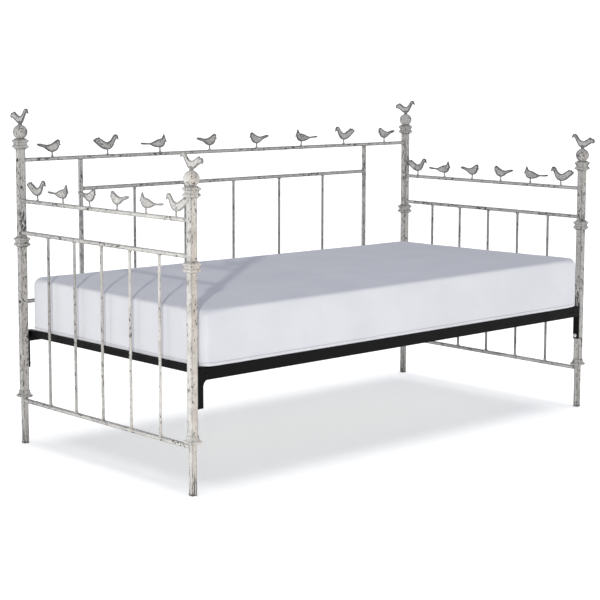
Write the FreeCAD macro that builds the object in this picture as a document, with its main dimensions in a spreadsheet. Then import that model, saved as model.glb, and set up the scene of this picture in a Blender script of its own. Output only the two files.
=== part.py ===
import FreeCAD
import Part

import os
import re

import Sketcher

# Daybed: two arms and a back of square tube with cut-out birds on the rails, a black angle-iron
# link spring bolted between the posts, and a mattress that lies on it.
# Millimetres. X runs along the bed, +Y is the side with the back, +Z is up.
# The origin is on the floor under the middle of the bed.

os.makedirs("parts", exist_ok=True)

V = FreeCAD.Vector
doc = FreeCAD.newDocument("Daybed")
nodes = []

# ---------------------------------------------------------------- driving dimensions

SIZES = [
    ("span_x", 1947, "post centre to post centre along the bed"),
    ("span_y", 943, "post centre to post centre across the bed"),
    ("post_side", 25.4, "square post tube"),
    ("post_round", 2.5, "outer corner radius of the post tube"),
    ("post_base", 168, "bottom of the post tube"),
    ("leg_side", 19.05, "square leg tube that slips up into the post"),
    ("leg_round", 1.8, "outer corner radius of the leg tube"),
    ("leg_top", 214, "hidden top end of the leg tube"),
    ("tube_wall", 1.5, "wall of every square tube"),
    ("rail_side", 12.7, "square rail tube"),
    ("rail_round", 1.4, "outer corner radius of the rail tube"),
    ("glide_lip", 4, "plastic glide below the leg tube"),
    ("glide_plug", 14, "glide plug inside the leg tube"),
    ("front_ball_z", 991.5, "centre of the front ball finials"),
    ("rear_ball_z", 1102.5, "centre of the rear ball finials"),
    ("ball_radius", 25.4, "ball finial"),
    ("ball_foot", 22, "ball centre down to the flat that it stands on"),
    ("ball_crown", 25.0, "ball centre up to the flat under the bird"),
    ("collar_side", 42, "square collar across its beads"),
    ("collar_tall", 38, "height of a two-bead collar"),
    ("mid_collar_z", 719, "centre of the middle collars"),
    ("foot_collar_z", 164, "underside of the foot collars"),
    ("foot_collar_tall", 27, "height of a foot collar"),
    ("arm_top_z", 862.5, "arm top rail, the birds' perch"),
    ("arm_second_z", 751, "arm second rail"),
    ("arm_bottom_z", 154, "arm bottom rail"),
    ("rod_radius", 4.76, "round spindle rod"),
    ("arm_rod_pitch", 154.5, "arm spindle spacing"),
    ("arm_bird_pitch", 153, "arm bird spacing"),
    ("arm_bird_shift", 13, "how far the arm birds sit off centre"),
    ("back_top_z", 1005, "back top rail, the birds' perch"),
    ("back_second_z", 892.5, "back second rail"),
    ("back_low_z", 507, "back lower rail behind the mattress"),
    ("upright_x", 721.5, "back upright from the middle"),
    ("back_pitch", 240.5, "back spindle and bird spacing"),
    ("plate", 4, "plate that the rail birds are cut from"),
    ("stem_radius", 2.5, "bird stem"),
    ("stem_long", 17, "bird stem above the rail"),
    ("crown_plate", 5, "plate that the finial birds are cut from"),
    ("crown_stem_radius", 7, "stem between ball and finial bird"),
    ("crown_stem_long", 5, "stem between ball and finial bird"),
    ("frame_top", 400, "top of the side rails of the link spring"),
    ("angle_leg", 38, "side rail angle, each leg"),
    ("angle_thick", 3.2, "thickness of all angle iron"),
    ("end_leg", 22.2, "end rail angle, each leg"),
    ("end_face_x", 953, "outer face of the end rails"),
    ("drop_low", 273, "bottom of the corner brackets"),
    ("drop_thick", 5, "corner bracket plate against the post"),
    ("tab_thick", 4, "corner bracket tab against the side rail"),
    ("tab_long", 66, "corner bracket tab along the side rail"),
    ("tab_low", 363, "bottom of the corner bracket tab"),
    ("gusset_wide", 18.5, "drop leg of a gusset bracket"),
    ("gusset_round", 22, "inner corner radius of a gusset bracket"),
    ("bolt_z", 285, "bolt that holds a corner bracket to its post"),
    ("bolt_y", 467.5, "bracket bolt from the middle across the bed"),
    ("bolt_radius", 4, "shank of the bracket bolt"),
    ("bolt_head", 8.5, "head radius of the bracket bolt"),
    ("bolt_dome", 5, "head height of the bracket bolt"),
    ("bolt_reach", 14, "shank length of the bracket bolt"),
    ("nut_side", 13, "square nut of the bracket bolt"),
    ("nut_thick", 6, "thickness of the square nut"),
    ("screw_radius", 3, "shank of the screws through the rear posts"),
    ("screw_head", 6, "head radius of the screws through the rear posts"),
    ("screw_dome", 3, "head height of the screws through the rear posts"),
    ("screw_reach", 16, "screw shank beyond the post"),
    ("play", 0.3, "clearance round shanks and under the mattress"),
    ("rivet_radius", 3, "rivet shank"),
    ("rivet_head", 5.5, "rivet head radius"),
    ("rivet_dome", 2.4, "rivet head height"),
    ("wire_radius", 1.6, "wire of the link mesh"),
    ("wire_z", 391, "level of the lengthwise wires"),
    ("wire_pitch", 76, "spacing of the lengthwise wires"),
    ("wire_half", 880, "half length of the lengthwise wires"),
    ("cross_pitch", 150, "spacing of the crosswise wires"),
    ("cross_half", 400, "half length of the crosswise wires"),
    ("coil_radius", 6.5, "outside of a helical spring"),
    ("mattress_x", 947.5, "half length of the mattress"),
    ("mattress_front", 487, "front face of the mattress from the middle"),
    ("mattress_rear", 463, "rear face of the mattress from the middle"),
    ("mattress_low", 403.5, "underside of the mattress"),
    ("mattress_top", 590, "top of the mattress"),
    ("mattress_corner", 34, "vertical corner radius of the mattress"),
    ("mattress_edge", 14, "top and bottom edge radius of the mattress"),
]

ROD_COUNT = 5          # spindles in each arm and in the back
WIRE_COUNT = 11        # lengthwise wires of the link mesh
CROSS_COUNT = 11       # crosswise wires of the link mesh
SIDES = {"left": -1, "right": 1}
ENDS = {"front": -1, "rear": 1}

sheet = doc.addObject("Spreadsheet::Sheet", "Dims")
for row, (alias, value, meaning) in enumerate(SIZES, start=1):
    sheet.set("A%d" % row, meaning)
    sheet.set("B%d" % row, str(value))
    sheet.setAlias("B%d" % row, alias)
doc.recompute()


def size(alias):
    """The value of one cell of the sheet."""
    return float(sheet.get(alias))


def cells(formula):
    """Turn the alias words in a formula into references to the sheet."""
    known = {alias for alias, _, _ in SIZES}
    return re.sub(r"[a-z][a-z0-9_]*", lambda word: ("Dims." if word[0] in known else "") + word[0],
                  str(formula))


def bind(piece, **formulas):
    for name, formula in formulas.items():
        piece.setExpression(name, cells(formula))


def place(piece, at, turn=None):
    """Put a piece at three formulas, turned by (axis, degrees)."""
    if turn:
        axis, degrees = turn
        piece.Placement = FreeCAD.Placement(V(0, 0, 0), FreeCAD.Rotation(axis, degrees))
    for letter, formula in zip("xyz", at):
        piece.setExpression("Placement.Base." + letter, cells(formula))


def keep(piece, name):
    """Make a piece one of the nodes that are written out."""
    piece.Label = name
    nodes.append(piece)
    return piece


def times(sign, formula):
    return ("-( %s )" if sign < 0 else "( %s )") % formula


def group(name, pieces):
    """Several separate solids of the same kind in one node."""
    compound = doc.addObject("Part::Compound", name)
    compound.Links = pieces
    return keep(compound, name)


# ---------------------------------------------------------------- building blocks

ALONG = {
    "X": (V(0, 1, 0), 90),
    "Y": (V(1, 0, 0), -90),
    "Z": (V(0, 0, 1), 0),
}


def box(name, low, high):
    """A box between two corners, each given as three formulas."""
    piece = doc.addObject("Part::Box", name)
    spans = ["( %s ) - ( %s )" % (top, bottom) for bottom, top in zip(low, high)]
    bind(piece, Length=spans[0], Width=spans[1], Height=spans[2])
    place(piece, low)
    return piece


def rod(name, radius, length, at, along="Z"):
    """A cylinder that starts at a point and runs along one axis."""
    piece = doc.addObject("Part::Cylinder", name)
    bind(piece, Radius=radius, Height=length)
    place(piece, at, ALONG[along])
    return piece


def fuse(name, pieces):
    joined = doc.addObject("Part::MultiFuse", name)
    joined.Shapes = pieces
    joined.Refine = True
    return joined


def cut(name, base, tools):
    """Take one tool or several from a base."""
    result = doc.addObject("Part::Cut", name)
    result.Base = base
    result.Tool = tools[0] if len(tools) == 1 else fuse(name + "_tools", tools)
    return result


def origin_plane(body, role):
    return next(item for item in body.Origin.OriginFeatures if item.Role == role)


def body_sketch(body, name, role):
    sketch = body.newObject("Sketcher::SketchObject", name)
    sketch.AttachmentSupport = [(origin_plane(body, role), "")]
    sketch.MapMode = "FlatFace"
    return sketch


def square_sketch(body, name, side):
    """A square centred on the body's axis, its side bound to a formula."""
    sketch = body_sketch(body, name, "XY_Plane")
    half = 10
    corners = [V(-half, -half, 0), V(half, -half, 0), V(half, half, 0), V(-half, half, 0)]
    for here in range(4):
        sketch.addGeometry(Part.LineSegment(corners[here], corners[(here + 1) % 4]), False)
    for here in range(4):
        sketch.addConstraint(Sketcher.Constraint("Coincident", here, 2, (here + 1) % 4, 1))
    for here, kind in enumerate(["Horizontal", "Vertical", "Horizontal", "Vertical"]):
        sketch.addConstraint(Sketcher.Constraint(kind, here))
    sketch.addConstraint(Sketcher.Constraint("Symmetric", 0, 1, 2, 1, -1, 1))
    wide = sketch.addConstraint(Sketcher.Constraint("DistanceX", 0, 1, 0, 2, 2 * half))
    deep = sketch.addConstraint(Sketcher.Constraint("DistanceY", 1, 1, 1, 2, 2 * half))
    sketch.renameConstraint(wide, "wide")
    sketch.renameConstraint(deep, "deep")
    bind(sketch, **{"Constraints.wide": side, "Constraints.deep": side})
    return sketch


def upright_edges(shape):
    """Names of the edges that run along Z."""
    names = []
    for index, edge in enumerate(shape.Edges, start=1):
        first, last = edge.Vertexes[0].Point, edge.Vertexes[-1].Point
        if abs(first.x - last.x) < 1e-6 and abs(first.y - last.y) < 1e-6:
            names.append("Edge%d" % index)
    return names


def tube(name, side, corner, length, at, along="Z"):
    """A square tube with rounded outer corners, open at both ends."""
    body = doc.addObject("PartDesign::Body", name)
    pad = body.newObject("PartDesign::Pad", name + "_pad")
    pad.Profile = square_sketch(body, name + "_outer", side)
    bind(pad, Length=length)
    doc.recompute([pad])
    rounded = body.newObject("PartDesign::Fillet", name + "_corners")
    rounded.Base = (pad, upright_edges(pad.Shape))
    bind(rounded, Radius=corner)
    bore = body.newObject("PartDesign::Pocket", name + "_bore")
    bore.Profile = square_sketch(body, name + "_inner", "%s - 2 * tube_wall" % side)
    bore.Type = "ThroughAll"
    bore.Reversed = True
    body.Tip = bore
    place(body, at, ALONG[along])
    return body


def outline_edges(strokes):
    """Edges of a closed outline: two points make a line, more make one smooth curve."""
    edges = []
    for stroke in strokes:
        points = [V(across, up, 0) for across, up in stroke]
        if len(points) == 2:
            edges.append(Part.LineSegment(points[0], points[1]))
        else:
            curve = Part.BSplineCurve()
            curve.interpolate(points)
            edges.append(curve)
    return edges


# ---------------------------------------------------------------- collars

def mirrored(strokes):
    """A half outline to the right of the axis, closed by its mirror image."""
    left = [[(-across, up) for across, up in reversed(stroke)] for stroke in reversed(strokes)]
    top = [strokes[-1][-1], left[0][0]]
    bottom = [left[-1][-1], strokes[0][0]]
    return strokes + [top] + left + [bottom]


# Half outlines as (distance from the post's axis, height).
TWO_BEADS = [
    [(12.9, -19), (15.5, -17)],
    [(15.5, -17), (15.9, -15), (18.3, -14.2), (20.6, -12.2), (21, -9.6), (19.9, -6.6), (17.6, -4.6)],
    [(17.6, -4.6), (17, -2.5), (16.8, 0), (17, 2.5), (17.6, 4.6)],
    [(17.6, 4.6), (19.9, 6.6), (21, 9.6), (20.6, 12.2), (18.3, 14.2), (15.9, 15), (15.5, 17)],
    [(15.5, 17), (12.9, 19)],
]
FLARED_SKIRT = [
    [(9.6, 0), (12.6, 0)],
    [(12.6, 0), (16.6, 1.4), (19.8, 4), (21, 7.2), (20.2, 9.8), (18.2, 11.2)],
    [(18.2, 11.2), (15.9, 14), (14.5, 18), (13.9, 22.5), (13.8, 27)],
]
PLANES = {
    "across": FreeCAD.Rotation(V(1, 0, 0), 90),
    "along": FreeCAD.Rotation(V(0, 0, 1), 90) * FreeCAD.Rotation(V(1, 0, 0), 90),
}


def square_turned(name, strokes):
    """A moulding with a square plan: the common part of two straight extrusions."""
    slabs = []
    for way, rotation in PLANES.items():
        sketch = doc.addObject("Sketcher::SketchObject", "%s_%s_outline" % (name, way))
        for edge in outline_edges(mirrored(strokes)):
            sketch.addGeometry(edge, False)
        sketch.Placement = FreeCAD.Placement(V(0, 0, 0), rotation)
        slab = doc.addObject("Part::Extrusion", "%s_%s" % (name, way))
        slab.Base = sketch
        slab.DirMode = "Normal"
        slab.Symmetric = True
        slab.Solid = True
        bind(slab, LengthFwd="collar_side + 2")
        slabs.append(slab)
    moulding = doc.addObject("Part::MultiCommon", name + "_moulding")
    moulding.Shapes = slabs
    return moulding


def square_hole(name, side, low, high):
    half = "( %s ) / 2" % side
    return box(name, ("-" + half, "-" + half, low), (half, half, high))


def collar(name, corner_x, corner_y, z):
    moulding = square_turned(name, TWO_BEADS)
    hole = square_hole(name + "_hole", "post_side", "-collar_tall", "collar_tall")
    piece = cut(name, moulding, [hole])
    place(piece, (corner_x, corner_y, z))
    return keep(piece, name)


def foot_collar(name, corner_x, corner_y):
    moulding = square_turned(name, FLARED_SKIRT)
    post_hole = square_hole(name + "_post_hole", "post_side",
                            "post_base - foot_collar_z", "2 * foot_collar_tall")
    leg_hole = square_hole(name + "_leg_hole", "leg_side", "-foot_collar_tall", "foot_collar_tall")
    piece = cut(name, moulding, [post_hole, leg_hole])
    place(piece, (corner_x, corner_y, "foot_collar_z"))
    return keep(piece, name)


# ---------------------------------------------------------------- birds

# Outlines as (towards the beak, up), from the spot on the belly where the stem starts.
SONGBIRD = [
    [(36.6, 23.5), (31.6, 30)],
    [(31.6, 30), (32.2, 37.5), (26, 43.8), (16.4, 40.4), (4.2, 33), (-9.8, 27.4), (-32.4, 27.6),
     (-49.8, 31.4), (-61.5, 30.8)],
    [(-61.5, 30.8), (-63, 26.6)],
    [(-63, 26.6), (-49.8, 20.4), (-32.4, 15), (-13.2, 2.8), (0, 0), (12.9, 2.4), (23.3, 9.6),
     (28, 17.6), (29.4, 23.6)],
    [(29.4, 23.6), (36.6, 23.5)],
]
DOVE = [
    [(49, 34.5), (46.8, 43.5)],
    [(46.8, 43.5), (43.5, 51.5), (36, 54.8), (28, 51.6), (20.5, 42), (12, 32.6), (-3.8, 27.6),
     (-20, 34.6), (-33.4, 41.4)],
    [(-33.4, 41.4), (-39.4, 46), (-43.8, 41.6)],
    [(-43.8, 41.6), (-50, 44.2), (-54, 39.2)],
    [(-54, 39.2), (-60, 38.8), (-62, 33)],
    [(-62, 33), (-52, 24.5), (-42.6, 17.4), (-31.4, 9.4), (-16, 2), (0, 0), (15.2, 4.4), (25, 14),
     (31, 26), (36.4, 36), (40.8, 40)],
    [(40.8, 40), (49, 34.5)],
]
CARDINAL = [
    [(31.5, 20), (27.8, 28)],
    [(27.8, 28), (25.4, 33), (23.6, 39), (18.4, 49)],
    [(18.4, 49), (14.4, 42), (9, 34.4), (-4, 31.4), (-18, 27.4), (-30, 22.4), (-41, 18.6), (-60, 18.4),
     (-86, 20.2)],
    [(-86, 20.2), (-88.4, 17.4), (-86, 14.4)],
    [(-86, 14.4), (-60, 12.4), (-44, 10.8), (-32, 5.4), (-17, 1.4), (0, 0), (12.7, 3), (21.6, 11),
     (24.6, 20)],
    [(24.6, 20), (31.5, 20)],
]
CROWN_DOVE = [
    [(52.4, 34.4), (48.4, 43.6)],
    [(48.4, 43.6), (45, 49.4), (38.4, 51.8), (30.6, 48.6), (22, 38.6), (13.6, 29.4), (4, 25.2), (-8, 25.6),
     (-20.6, 31.4), (-31, 37.4)],
    [(-31, 37.4), (-37, 39.6), (-41.6, 34)],
    [(-41.6, 34), (-48.8, 35.4), (-54, 30.6)],
    [(-54, 30.6), (-55.8, 23.6), (-50.4, 17)],
    [(-50.4, 17), (-42.6, 17.2), (-33.6, 13.4), (-23, 7), (-11.6, 1), (0, 0), (10.8, 1.4), (18.6, 8),
     (25.4, 17.8), (31.6, 27.2), (37.4, 36), (43.6, 40.4)],
    [(43.6, 40.4), (52.4, 34.4)],
]

STEM_ROOT = 4          # how far a stem reaches up into its bird's belly


def bird(name, outline, plate, stem_radius, stem_long, at, heading):
    """A bird cut from plate with a round stem under its belly, beak turned to a heading."""
    body = doc.addObject("PartDesign::Body", name)
    silhouette = body_sketch(body, name + "_outline", "XZ_Plane")
    for edge in outline_edges(outline):
        silhouette.addGeometry(edge, False)
    pad = body.newObject("PartDesign::Pad", name + "_pad")
    pad.Profile = silhouette
    pad.SideType = "Symmetric"
    bind(pad, Length=plate)
    ring = body_sketch(body, name + "_stem_outline", "XY_Plane")
    ring.addGeometry(Part.Circle(V(0, 0, 0), V(0, 0, 1), 2), False)
    ring.addConstraint(Sketcher.Constraint("Coincident", 0, 3, -1, 1))
    ring.renameConstraint(ring.addConstraint(Sketcher.Constraint("Radius", 0, 2)), "radius")
    bind(ring, **{"Constraints.radius": stem_radius,
                  "AttachmentOffset.Base.z": "-( %s )" % stem_long})
    stem = body.newObject("PartDesign::Pad", name + "_stem")
    stem.Profile = ring
    bind(stem, Length="%s + %s" % (stem_long, STEM_ROOT))
    body.Tip = stem
    place(body, at, (V(0, 0, 1), heading))
    return body


# ---------------------------------------------------------------- corners of the bed

def post(side, end, corner_x, corner_y):
    """A post tube, drilled for its bracket bolt and, at the rear, for the back's screws."""
    name = "%s_%s_post" % (side, end)
    body = tube(name + "_tube", "post_side", "post_round",
                "%s_ball_z - ball_foot - post_base" % end, (corner_x, corner_y, "post_base"))
    inward = -SIDES[side]
    start = corner_x if inward > 0 else "%s - post_side" % corner_x
    drills = [rod(name + "_bolt_drill", "bolt_radius + play", "post_side",
                  (start, times(ENDS[end], "bolt_y"), "bolt_z"), "X")]
    if end == "rear":
        for level in ("back_low_z", "back_top_z"):
            drills.append(rod("%s_%s_drill" % (name, level), "screw_radius + play", "2 * post_side",
                              ("%s - post_side" % corner_x, corner_y, level), "X"))
    return keep(cut(name, body, drills), name)


def ball_finial(name, corner_x, corner_y, z):
    """A ball with a flat below, where it stands on the post, and one above, under the bird."""
    piece = doc.addObject("Part::Sphere", name)
    bind(piece, Radius="ball_radius",
         Angle1="-asin( ball_foot / ball_radius )", Angle2="asin( ball_crown / ball_radius )")
    place(piece, (corner_x, corner_y, z))
    return keep(piece, name)


glides = []
for side, way_x in SIDES.items():
    for end, way_y in ENDS.items():
        corner_x = times(way_x, "span_x / 2")
        corner_y = times(way_y, "span_y / 2")
        ball_z = end + "_ball_z"
        corner = "%s_%s_" % (side, end)
        post(side, end, corner_x, corner_y)
        keep(tube(corner + "leg", "leg_side", "leg_round", "leg_top - glide_lip",
                  (corner_x, corner_y, "glide_lip")), corner + "leg")
        lip = square_hole(corner + "glide_lip", "leg_side", "0", "glide_lip")
        plug = square_hole(corner + "glide_plug", "leg_side - 2 * tube_wall", "0",
                           "glide_lip + glide_plug")
        glide = fuse(corner + "glide", [lip, plug])
        place(glide, (corner_x, corner_y, "0"))
        glides.append(glide)
        foot_collar(corner + "foot_collar", corner_x, corner_y)
        collar(corner + "mid_collar", corner_x, corner_y, "mid_collar_z")
        collar(corner + "top_collar", corner_x, corner_y, "%s - ball_foot - collar_tall / 2" % ball_z)
        ball_finial(corner + "ball_finial", corner_x, corner_y, ball_z)
        keep(bird(corner + "finial_bird", CROWN_DOVE, "crown_plate", "crown_stem_radius",
                  "crown_stem_long",
                  (corner_x, corner_y, "%s + ball_crown + crown_stem_long" % ball_z),
                  -90 * way_y), corner + "finial_bird")
group("leg_glides", glides)


# ---------------------------------------------------------------- arms

ARM_FLOCK = [DOVE, CARDINAL, SONGBIRD, SONGBIRD, CARDINAL, DOVE]
ARM_RAILS = [("top", "post_side"), ("second", "post_side"), ("bottom", "leg_side")]

for side, way_x in SIDES.items():
    arm_x = times(way_x, "span_x / 2")
    for level, between in ARM_RAILS:
        keep(tube("%s_arm_%s_rail" % (side, level), "rail_side", "rail_round",
                  "span_y - %s" % between,
                  (arm_x, "( %s - span_y ) / 2" % between, "arm_%s_z" % level), "Y"),
             "%s_arm_%s_rail" % (side, level))
    spindles = []
    for index in range(ROD_COUNT):
        spindles.append(rod("%s_arm_spindle_%d" % (side, index + 1), "rod_radius",
                            "arm_second_z - arm_bottom_z - rail_side",
                            (arm_x, "%d * arm_rod_pitch" % (index - ROD_COUNT // 2),
                             "arm_bottom_z + rail_side / 2")))
    group(side + "_arm_spindles", spindles)
    flock = []
    for index, outline in enumerate(ARM_FLOCK):
        steps = (len(ARM_FLOCK) - 1) / 2 - index
        heading = -90 if index < len(ARM_FLOCK) // 2 else 90
        flock.append(bird("%s_arm_bird_%d" % (side, index + 1), outline, "plate", "stem_radius",
                          "stem_long",
                          (arm_x, "%s * arm_bird_pitch + %d * arm_bird_shift" % (steps, way_x),
                           "arm_top_z + rail_side / 2 + stem_long"), heading))
    group(side + "_arm_birds", flock)


# ---------------------------------------------------------------- back

BACK_FLOCK = [SONGBIRD, DOVE, CARDINAL, SONGBIRD, SONGBIRD, CARDINAL, DOVE, SONGBIRD]
BACK_RAILS = [
    ("top", "span_x / 2 - post_side / 2"),
    ("second", "upright_x - rail_side / 2"),
    ("low", "span_x / 2 - post_side / 2"),
]

back_y = "span_y / 2"
for level, half in BACK_RAILS:
    keep(tube("back_%s_rail" % level, "rail_side", "rail_round", "2 * ( %s )" % half,
              ("-( %s )" % half, back_y, "back_%s_z" % level), "X"), "back_%s_rail" % level)
for side, way_x in SIDES.items():
    keep(tube("back_%s_upright" % side, "rail_side", "rail_round",
              "back_top_z - back_low_z - rail_side",
              (times(way_x, "upright_x"), back_y, "back_low_z + rail_side / 2")),
         "back_%s_upright" % side)
spindles = []
for index in range(ROD_COUNT):
    spindles.append(rod("back_spindle_%d" % (index + 1), "rod_radius",
                        "back_second_z - back_low_z - rail_side",
                        ("%d * back_pitch" % (index - ROD_COUNT // 2), back_y,
                         "back_low_z + rail_side / 2")))
group("back_spindles", spindles)
flock = []
for index, outline in enumerate(BACK_FLOCK):
    steps = index - (len(BACK_FLOCK) - 1) / 2
    heading = 0 if index < len(BACK_FLOCK) // 2 else 180
    flock.append(bird("back_bird_%d" % (index + 1), outline, "plate", "stem_radius", "stem_long",
                      ("%s * back_pitch" % steps, back_y, "back_top_z + rail_side / 2 + stem_long"),
                      heading))
group("back_birds", flock)


def dome(name, radius, tall, at, turn):
    """A low round head, flat where it bears, domed towards its own +Z."""
    piece = doc.addObject("Part::Cone", name)
    bind(piece, Radius1=radius, Radius2="( %s ) * 0.55" % radius, Height=tall)
    place(piece, at, turn)
    return piece


TOWARDS = {-1: (V(0, 1, 0), -90), 1: (V(0, 1, 0), 90)}

screws = []
for side, way_x in SIDES.items():
    for level in ("back_low_z", "back_top_z"):
        outer_x = times(way_x, "span_x / 2 + post_side / 2")
        name = "%s_%s_screw" % (side, level)
        head = dome(name + "_head", "screw_head", "screw_dome", (outer_x, back_y, level),
                    TOWARDS[way_x])
        reach = "post_side + screw_reach"
        start = outer_x if way_x < 0 else "%s - ( %s )" % (outer_x, reach)
        shank = rod(name + "_shank", "screw_radius", reach, (start, back_y, level), "X")
        screws.append(fuse(name, [head, shank]))
group("back_panel_screws", screws)


# ---------------------------------------------------------------- link spring

HALF_Y = "span_y / 2 + post_side / 2"          # outer face of the side rails
POST_FACE_X = "span_x / 2 - post_side / 2"     # inner face of the posts


def spread(way, near, far):
    """The low and high of a span between two distances from the middle, on one side of it."""
    if way > 0:
        return near, far
    return "-( %s )" % far, "-( %s )" % near


def sided_box(name, ways, near, far, low, high):
    """A box on the given sides of the middle, between two distances each way."""
    span_x = spread(ways[0], near[0], far[0])
    span_y = spread(ways[1], near[1], far[1])
    return box(name, (span_x[0], span_y[0], low), (span_x[1], span_y[1], high))


def rivet_places():
    """Distances from the middle along X of the two rivets of each bracket tab."""
    face = POST_FACE_X + " - drop_thick"
    return [face + " - tab_long * 0.42", face + " - tab_long * 0.8"]


RIVET_Z = "( tab_low + frame_top - angle_thick ) / 2"
CORNER_RIVET = ("end_face_x - end_leg * 0.6", HALF_Y + " - angle_leg * 0.55")


def side_rail(end, way_y):
    """Angle iron, one leg down along the outer face and one leg inwards under the mattress."""
    name = end + "_side_rail"
    reach = POST_FACE_X + " - drop_thick"
    flange_reach = "end_face_x - angle_thick"
    down = spread(way_y, HALF_Y + " - angle_thick", HALF_Y)
    flat = spread(way_y, HALF_Y + " - angle_leg", HALF_Y)
    web = box(name + "_web", ("-( %s )" % reach, down[0], "frame_top - angle_leg"),
              (reach, down[1], "frame_top"))
    flange = box(name + "_flange", ("-( %s )" % flange_reach, flat[0], "frame_top - angle_thick"),
                 (flange_reach, flat[1], "frame_top"))
    drills = []
    for way_x in SIDES.values():
        for index, along in enumerate(rivet_places()):
            drills.append(rod("%s_drill_%d_%d" % (name, way_x, index), "rivet_radius + play / 3",
                              "3 * angle_thick",
                              (times(way_x, along), down[0] + " - angle_thick", RIVET_Z), "Y"))
        drills.append(rod("%s_corner_drill_%d" % (name, way_x), "rivet_radius + play / 3",
                          "3 * angle_thick",
                          (times(way_x, CORNER_RIVET[0]), times(way_y, CORNER_RIVET[1]),
                           "frame_top - 2 * angle_thick")))
    return keep(cut(name, fuse(name + "_angle", [web, flange]), drills), name)


def end_rail(side, way_x):
    """Lighter angle across the end; its flat leg laps over the side rails."""
    name = side + "_end_rail"
    lap = HALF_Y
    clear = HALF_Y + " - angle_thick - tab_thick - 3"
    upright = spread(way_x, "end_face_x - angle_thick", "end_face_x")
    flat = spread(way_x, "end_face_x - end_leg", "end_face_x")
    top = "frame_top + angle_thick"
    web = box(name + "_web", (upright[0], "-( %s )" % clear, top + " - end_leg"),
              (upright[1], clear, top))
    flange = box(name + "_flange", (flat[0], "-( %s )" % lap, "frame_top"), (flat[1], lap, top))
    drills = []
    for way_y in ENDS.values():
        drills.append(rod("%s_corner_drill_%d" % (name, way_y), "rivet_radius + play / 3",
                          "3 * angle_thick",
                          (times(way_x, CORNER_RIVET[0]), times(way_y, CORNER_RIVET[1]),
                           "frame_top - angle_thick")))
    return keep(cut(name, fuse(name + "_angle", [web, flange]), drills), name)


def inner_corner_fillet(name, ways, corner_x, y_near, y_far):
    """The web of plate that fills the inner corner between tab and drop leg."""
    block = sided_box(name + "_block", ways, ("%s - gusset_round" % corner_x, y_near),
                      (corner_x, y_far), "tab_low - gusset_round", "tab_low")
    start_y = spread(ways[1], y_near, y_far)[0] + " - 1"
    bite = rod(name + "_bite", "gusset_round", "tab_thick + 2",
               (times(ways[0], "%s - gusset_round" % corner_x), start_y,
                "tab_low - gusset_round"), "Y")
    return cut(name, block, [bite])


def corner_bracket(name, ways, gusset):
    """Bent plate: a drop plate bolted to the post and a tab riveted inside the side rail."""
    y_far = HALF_Y + " - angle_thick"
    y_near = y_far + " - tab_thick"
    bend_x = POST_FACE_X + " - drop_thick"
    drop = sided_box(name + "_drop", ways, (bend_x, "span_y / 2 - post_side / 2"),
                     (POST_FACE_X, HALF_Y), "drop_low", "frame_top")
    tab = sided_box(name + "_tab", ways, (bend_x + " - tab_long", y_near), (bend_x, y_far),
                    "tab_low", "frame_top - angle_thick")
    plates = [drop, tab]
    if gusset:
        plates.append(sided_box(name + "_leg", ways, (bend_x + " - gusset_wide", y_near),
                                (bend_x, y_far), "drop_low", "tab_low"))
        plates.append(inner_corner_fillet(name + "_fillet", ways, bend_x + " - gusset_wide",
                                          y_near, y_far))
    start_x = times(ways[0], "span_x / 2") if ways[0] < 0 else "span_x / 2 - post_side"
    drills = [rod(name + "_bolt_drill", "bolt_radius + play", "post_side",
                  (start_x, times(ways[1], "bolt_y"), "bolt_z"), "X")]
    start_y = spread(ways[1], y_near, y_far)[0] + " - tab_thick"
    for index, along in enumerate(rivet_places()):
        drills.append(rod("%s_rivet_drill_%d" % (name, index), "rivet_radius + play / 3",
                          "3 * tab_thick", (times(ways[0], along), start_y, RIVET_Z), "Y"))
    return cut(name, fuse(name + "_plate", plates), drills)


def bracket_bolt(name, ways):
    """Round-headed bolt through the drop plate into the post, with its nut inside the post."""
    way_x = ways[0]
    bolt_y = times(ways[1], "bolt_y")
    face_x = times(way_x, POST_FACE_X + " - drop_thick")
    head = dome(name + "_head", "bolt_head", "bolt_dome", (face_x, bolt_y, "bolt_z"),
                TOWARDS[-way_x])
    start = face_x if way_x > 0 else face_x + " - bolt_reach"
    shank = rod(name + "_shank", "bolt_radius", "bolt_reach", (start, bolt_y, "bolt_z"), "X")
    return fuse(name, [head, shank])


def post_nut(name, ways):
    """Square nut held against the inside wall of the post."""
    near = "span_x / 2 - post_side / 2 + tube_wall"
    bolt_y = times(ways[1], "bolt_y")
    span_x = spread(ways[0], near, near + " + nut_thick")
    blank = box(name + "_blank", (span_x[0], bolt_y + " - nut_side / 2", "bolt_z - nut_side / 2"),
                (span_x[1], bolt_y + " + nut_side / 2", "bolt_z + nut_side / 2"))
    thread = rod(name + "_thread", "bolt_radius + play / 3", "3 * nut_thick",
                 (span_x[0] + " - nut_thick", bolt_y, "bolt_z"), "X")
    return cut(name, blank, [thread])


def bracket_rivet(name, ways, along):
    """Rivet through side rail and bracket tab, domed on both faces."""
    outer_y = times(ways[1], HALF_Y)
    grip = "angle_thick + tab_thick"
    low = spread(ways[1], "%s - ( %s )" % (HALF_Y, grip), HALF_Y)[0]
    x = times(ways[0], along)
    shank = rod(name + "_shank", "rivet_radius", grip, (x, low, RIVET_Z), "Y")
    outward = (V(1, 0, 0), -90 * ways[1])
    inward = (V(1, 0, 0), 90 * ways[1])
    inner_y = times(ways[1], "%s - ( %s )" % (HALF_Y, grip))
    heads = [dome(name + "_outer", "rivet_head", "rivet_dome", (x, outer_y, RIVET_Z), outward),
             dome(name + "_inner", "rivet_head", "rivet_dome", (x, inner_y, RIVET_Z), inward)]
    return fuse(name, heads + [shank])


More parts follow.
